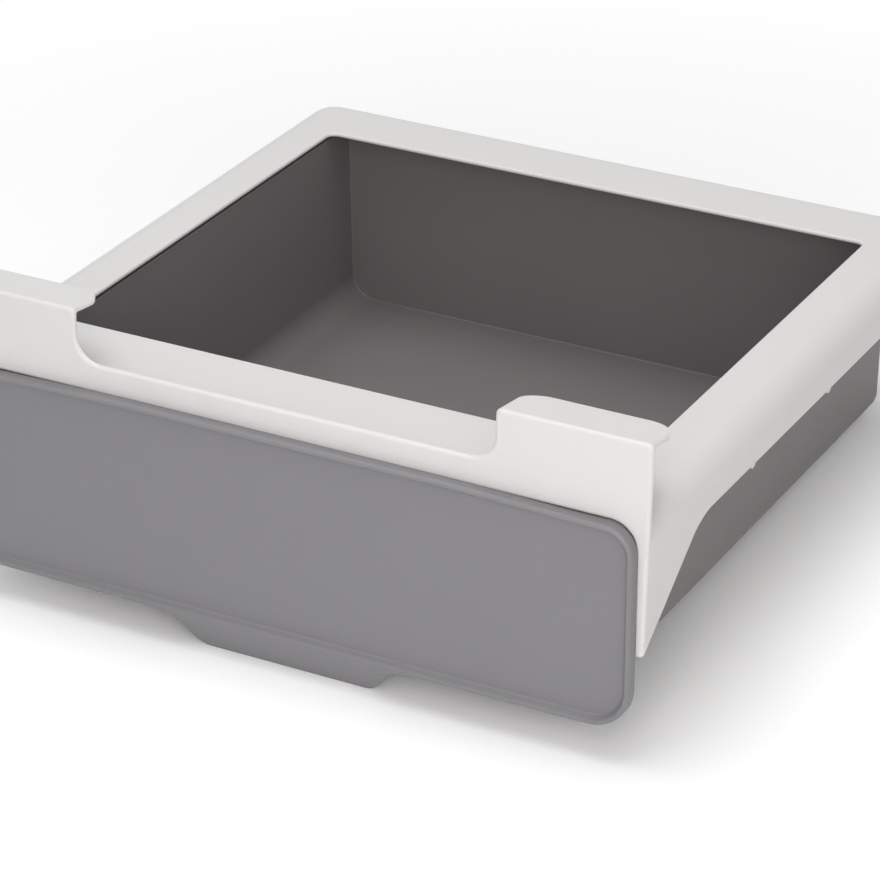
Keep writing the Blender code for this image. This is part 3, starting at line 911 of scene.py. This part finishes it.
class DRAWER_OT_bin(bpy.types.Operator):
    """Model the grey bin with its turned rim"""

    bl_idname = "drawer.bin"
    bl_label = "Bin"

    def execute(self, context):
        sizes = context.scene.drawer_bin
        front_sizes = context.scene.drawer_front
        finishes = context.scene.drawer_finishes
        front, wall = -sizes.front, sizes.wall
        top = -sizes.rim_top - wall / 2
        tray = tray_block(sizes, "bin_moulding", 0, front + SKIN_STEP, sizes.rear, top)
        weld(tray, turned_rim(sizes))
        pocket_end = front + sizes.pocket
        carve(tray, tray_block(sizes, "inside", wall, pocket_end + wall, sizes.rear - wall, wall))
        carve(tray, tray_block(sizes, "pocket", wall, front - wall, pocket_end, -sizes.rim_top - wall))
        tidy(tray)
        soften(tray, sizes.fine_edge)
        split_up(tray, BIN_CUTS)
        self.add_ribs(tray, sizes)
        self.add_sockets(tray, sizes, front_sizes)
        smooth(tray)
        plastic = moulded_plastic(
            "bin_grey", finishes.bin_colour, roughness=0.5, grain_depth=0.00008, mottle=0.5
        )
        dress(tray, plastic)
        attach(tray, "drawer")
        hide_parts("drawer_bin")
        return {"FINISHED"}

    def add_ribs(self, tray, sizes):
        """A rib in each side of the rim, which meets the runner's stop."""
        top = -sizes.rim_top - sizes.wall / 2
        low = RUNNER_LOW.z + PASS_GAP + RIB_CLEAR
        start = RUNNER_LOW.y + STOP_LENGTH + TRAVEL + SEAT_GAP
        inner = sizes.top_half - sizes.wall / 2 - sizes.draft / 4
        outer = sizes.rim_half - sizes.wall / 2
        for side in (-1, 1):
            left, right = span(side, inner, outer)
            rib = block("rib", (left, start, low), (right, start + sizes.wall, top))
            pick_edges(rib, at(x=side * outer, z=top), along="y")
            round_off(0.8 * sizes.rim_round, 8)
            weld(tray, rib)

    def add_sockets(self, tray, sizes, front_sizes):
        """Sockets on the front wall for the drawer front's pegs."""
        front = -sizes.front
        bore = front_sizes.stud_radius + SEAT_GAP
        deep = front + sizes.pocket + sizes.wall / 2
        places = stud_places(front_sizes, sizes)
        for across, up in places:
            weld(tray, rod("socket", bore + SOCKET_WALL, (across, front, up), (across, deep, up), "y"))
        for across, up in places:
            start, end = (across, front - sizes.wall, up), (across, front + BORE_DEPTH, up)
            carve(tray, rod("bore", bore, start, end, "y"))


# The grey drawer front


def panel_body(sizes):
    """The panel: round corners, a rolled rim round a face set back, and a hollow back."""
    half, face, back = sizes.half, -sizes.face, -sizes.back
    panel = block("front_moulding", (-half, face, -sizes.bottom), (half, back, -sizes.top))
    start = (sizes.pull_half + sizes.pull_shoulder + CROWN_START) / half
    slices = 4
    shares = [start + (1 - start) * step / slices for step in range(slices + 1)]
    for share in shares[:-1]:
        slice_at(panel, (share * half, 0, 0), (1, 0, 0))
        slice_at(panel, (-share * half, 0, 0), (1, 0, 0))
    for share in shares:
        across = share * half
        pick_points(panel, lambda place: near(abs(place.x), across) and near(place.z, -sizes.top))
        move((0, 0, -sizes.top_crown * share**2))
        pick_points(panel, lambda place: near(abs(place.x), across) and near(place.z, -sizes.bottom))
        move((0, 0, sizes.low_crown * ((share - start) / (1 - start)) ** 2))
    pick_edges(panel, lambda place: near(abs(place.x), half) and place.z > -sizes.bottom / 2, along="y")
    round_off(sizes.corner_round, 14)
    pick_edges(panel, lambda place: near(abs(place.x), half) and place.z < -0.9 * sizes.bottom, along="y")
    round_off(sizes.low_round, 20)
    pick_edges(panel, at(y=face), folds_only=True)
    round_off(sizes.edge_round, 8)
    pick_faces(panel, lambda middle, normal: normal.y < -0.9999 and near(middle.y, face))
    bpy.ops.mesh.inset(thickness=sizes.rim_crest - sizes.edge_round, depth=0)
    steps = 8
    for step in range(steps):
        deeper = math.cos(math.pi * step / steps) - math.cos(math.pi * (step + 1) / steps)
        bpy.ops.mesh.inset(thickness=sizes.rim_slope / steps, depth=-sizes.recess * deeper / 2)
    pick_faces(panel, lambda middle, normal: normal.y > 0.9999 and near(middle.y, back))
    bpy.ops.mesh.inset(thickness=sizes.wall, depth=0)
    deep = sizes.face - sizes.back - sizes.recess - sizes.wall
    draw_out((0, -deep, 0))
    return panel


def finger_pull(sizes):
    """The finger pull: a plate that sweeps back, cut to its outline with soft shoulders and corners."""
    face = -sizes.face
    root = -sizes.bottom + 0.8 * sizes.edge_round
    foot = -sizes.pull_drop
    front = face + 0.05 * sizes.edge_round
    run = math.hypot(sizes.pull_setback, root - foot)
    across = sizes.pull_wall * (root - foot) / run
    up = sizes.pull_wall * sizes.pull_setback / run
    wide = sizes.pull_half + sizes.pull_shoulder + SHOULDER_SPARE
    past = 1.25
    low = root - past * (root - foot)
    plate = block("finger_pull", (-wide, front, low), (wide, front + across, root))
    pick_points(plate, lambda place: place.z < foot)
    move((0, past * sizes.pull_setback, 0))
    pick_points(plate, lambda place: place.y > front + CLOSE and near(place.z, root))
    move((0, 0, up))
    swept = front + past * sizes.pull_setback
    pick_points(plate, lambda place: place.z < foot and place.y > swept + CLOSE)
    move((0, 0, up))

    blend = -sizes.bottom + 0.4 * sizes.edge_round
    start = (-wide + SPARE, face - 2 * SPARE, blend)
    end = (wide - SPARE, -sizes.back + 20 * SPARE, root + 2 * up)
    trim = block("pull_trim", start, end)
    top_half = sizes.pull_half + sizes.pull_shoulder
    slice_at(trim, (top_half, 0, 0), (1, 0, 0))
    slice_at(trim, (-top_half, 0, 0), (1, 0, 0))
    pick_faces(trim, lambda middle, normal: normal.z < -0.5 and abs(middle.x) < top_half / 2)
    draw_out((0, 0, foot - blend))
    pick_points(trim, at(z=foot))
    stretch((sizes.pull_half / top_half, 1, 1), (0, 0, 0))
    pick_edges(trim, lambda place: near(place.z, blend) and near(abs(place.x), top_half), along="y")
    round_off(SHOULDER_ROUND, 10)
    pick_edges(trim, at(z=foot), along="y")
    round_off(sizes.pull_corner, 8)
    combine(plate, trim, "INTERSECT")
    return plate


class DRAWER_OT_front(bpy.types.Operator):
    """Model the grey drawer front with its rolled rim and finger pull"""

    bl_idname = "drawer.front"
    bl_label = "Drawer front"

    def execute(self, context):
        sizes = context.scene.drawer_front
        bin_sizes = context.scene.drawer_bin
        finishes = context.scene.drawer_finishes
        panel = panel_body(sizes)
        pull = finger_pull(sizes)
        soften(pull, sizes.fine_edge)
        weld(panel, pull)
        start = -sizes.face + sizes.recess + sizes.wall / 2
        end = -bin_sizes.front + STUD_DEPTH
        for across, up in stud_places(sizes, bin_sizes):
            weld(panel, rod("stud", sizes.stud_radius, (across, start, up), (across, end, up), "y"))
        smooth(panel)
        plastic = moulded_plastic(
            "front_grey", finishes.front_colour, roughness=0.48, grain_depth=0.00008, mottle=0.4
        )
        dress(panel, plastic)
        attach(panel, "drawer")
        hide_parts("drawer_front")
        return {"FINISHED"}


# The stage


def floor_material(shade):
    """A pale floor that keeps the shadow, turns plain white further out, and isn't seen from below."""
    finish = Finish("pale_floor")
    finish.shader.inputs["Base Color"].default_value = (*shade, 1)
    finish.shader.inputs["Roughness"].default_value = 0.9
    finish.shader.inputs["Specular IOR Level"].default_value = 0.1
    seen = seen_share(finish.tree)
    glow = finish.node("ShaderNodeEmission", None, Color=(1, 1, 1, 1), Strength=seen * FLOOR_GLOW)
    lit = finish.node("ShaderNodeAddShader")
    finish.feed(lit.inputs[0], finish.shader.outputs[0])
    finish.feed(lit.inputs[1], glow.outputs[0])
    away = finish.node("ShaderNodeVectorMath", {"operation": "DISTANCE"}, Vector=finish.place())
    away.inputs[1].default_value = MIDDLE
    reach = finish.node("ShaderNodeMapRange", None, Value=away.outputs["Value"])
    reach.inputs["From Min"].default_value = SHADOW_REACH
    reach.inputs["From Max"].default_value = WHITE_REACH
    white = finish.node("ShaderNodeEmission", None, Color=(1, 1, 1, 1), Strength=1.0)
    share = finish.number(reach.outputs["Result"]) * seen
    ground = finish.blend(share, lit.outputs[0], white.outputs[0])
    under = finish.node("ShaderNodeNewGeometry").outputs["Backfacing"]
    clear = finish.node("ShaderNodeBsdfTransparent")
    finish.feed(finish.output.inputs["Surface"], finish.blend(under, ground, clear.outputs[0]))
    return finish.material


def area_light(name, place, aim, size, energy, shade):
    """A soft square lamp."""
    lamp = bpy.data.lights.new(name, "AREA")
    lamp.energy = energy
    lamp.size = size
    lamp.color = shade
    item = bpy.data.objects.new(name, lamp)
    item.location = place
    item.rotation_euler = (Vector(aim) - Vector(place)).to_track_quat("-Z", "Y").to_euler()
    bpy.context.scene.collection.objects.link(item)


class DRAWER_OT_stage(bpy.types.Operator):
    """Set the floor, the light and the camera"""

    bl_idname = "drawer.stage"
    bl_label = "Stage"

    def execute(self, context):
        finishes = context.scene.drawer_finishes
        front, bin_sizes = context.scene.drawer_front, context.scene.drawer_bin
        self.add_floor(front, bin_sizes, finishes)
        self.add_surround(context.scene, finishes)
        for lamp in LAMPS:
            area_light(*lamp)
        self.add_camera(context.scene)
        context.scene.view_settings.view_transform = "Standard"
        return {"FINISHED"}

    def add_floor(self, front, bin_sizes, finishes):
        """The drawer stands on its finger pull and on the bin's rear edge, so the floor meets both."""
        foot = Vector((0, -front.face + front.pull_setback + FOOT_SETBACK, -front.pull_drop))
        heel = Vector((0, bin_sizes.rear, -bin_sizes.drop))
        tilt = math.atan2(heel.z - foot.z, heel.y - foot.y)
        set_down()
        bpy.ops.mesh.primitive_plane_add(size=FLOOR_SIZE, location=foot, rotation=(tilt, 0, 0))
        floor = bpy.context.object
        floor.name = "floor"
        bpy.ops.object.transform_apply()
        dress(floor, floor_material(finishes.floor_colour))

    def add_surround(self, scene, finishes):
        """Even light from all round, which reads white where it is seen."""
        world = bpy.data.worlds.new("surround")
        scene.world = world
        world.use_nodes = True
        tree = world.node_tree
        light = tree.nodes["Background"]
        light.inputs["Color"].default_value = (1.0, 1.0, 1.0, 1)
        light.inputs["Strength"].default_value = finishes.sky
        white = tree.nodes.new("ShaderNodeBackground")
        white.inputs["Color"].default_value = (1.0, 1.0, 1.0, 1)
        white.inputs["Strength"].default_value = 1.0
        mix = tree.nodes.new("ShaderNodeMixShader")
        tree.links.new(seen_share(tree).socket, mix.inputs[0])
        tree.links.new(light.outputs[0], mix.inputs[1])
        tree.links.new(white.outputs[0], mix.inputs[2])
        tree.links.new(mix.outputs[0], tree.nodes["World Output"].inputs["Surface"])

    def add_camera(self, scene):
        """A long lens from the front right, a little above."""
        camera = bpy.data.cameras.new("camera")
        camera.sensor_width = 36
        camera.lens = CAMERA_LENS
        item = bpy.data.objects.new("camera", camera)
        item.location = CAMERA_PLACE
        item.rotation_euler = Vector(CAMERA_AIM).to_track_quat("-Z", "Y").to_euler()
        scene.collection.objects.link(item)
        scene.camera = item


class DRAWER_PT_panel(bpy.types.Panel):
    """The sizes, the finishes and the pieces"""

    bl_idname = "DRAWER_PT_panel"
    bl_label = "Under-shelf drawer"
    bl_space_type = "VIEW_3D"
    bl_region_type = "UI"
    bl_category = "Drawer"

    def draw(self, context):
        scene = context.scene
        for group, title, kind in GROUPS:
            box = self.layout.box()
            box.label(text=title)
            settings = getattr(scene, group)
            for name in settings.__annotations__:
                box.prop(settings, name)
        for operator in OPERATORS:
            self.layout.operator(operator.bl_idname)


GROUPS = (
    ("drawer_frame", "Frame", FrameSizes),
    ("drawer_runners", "Runners", RunnerSizes),
    ("drawer_bin", "Bin", BinSizes),
    ("drawer_front", "Drawer front", FrontSizes),
    ("drawer_finishes", "Finishes", Finishes),
)
OPERATORS = (
    DRAWER_OT_shelf_frame,
    DRAWER_OT_runners,
    DRAWER_OT_bin,
    DRAWER_OT_front,
    DRAWER_OT_stage,
)
CLASSES = (*(kind for group, title, kind in GROUPS), *OPERATORS, DRAWER_PT_panel)


def register():
    for item in CLASSES:
        bpy.utils.register_class(item)
    for group, title, kind in GROUPS:
        setattr(bpy.types.Scene, group, bpy.props.PointerProperty(type=kind))


def unregister():
    for group, title, kind in GROUPS:
        delattr(bpy.types.Scene, group)
    for item in reversed(CLASSES):
        bpy.utils.unregister_class(item)


def main():
    """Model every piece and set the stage."""
    register()
    bpy.ops.drawer.shelf_frame()
    bpy.ops.drawer.runners()
    bpy.ops.drawer.bin()
    bpy.ops.drawer.front()
    bpy.ops.drawer.stage()


if __name__ == "__main__":
    main()
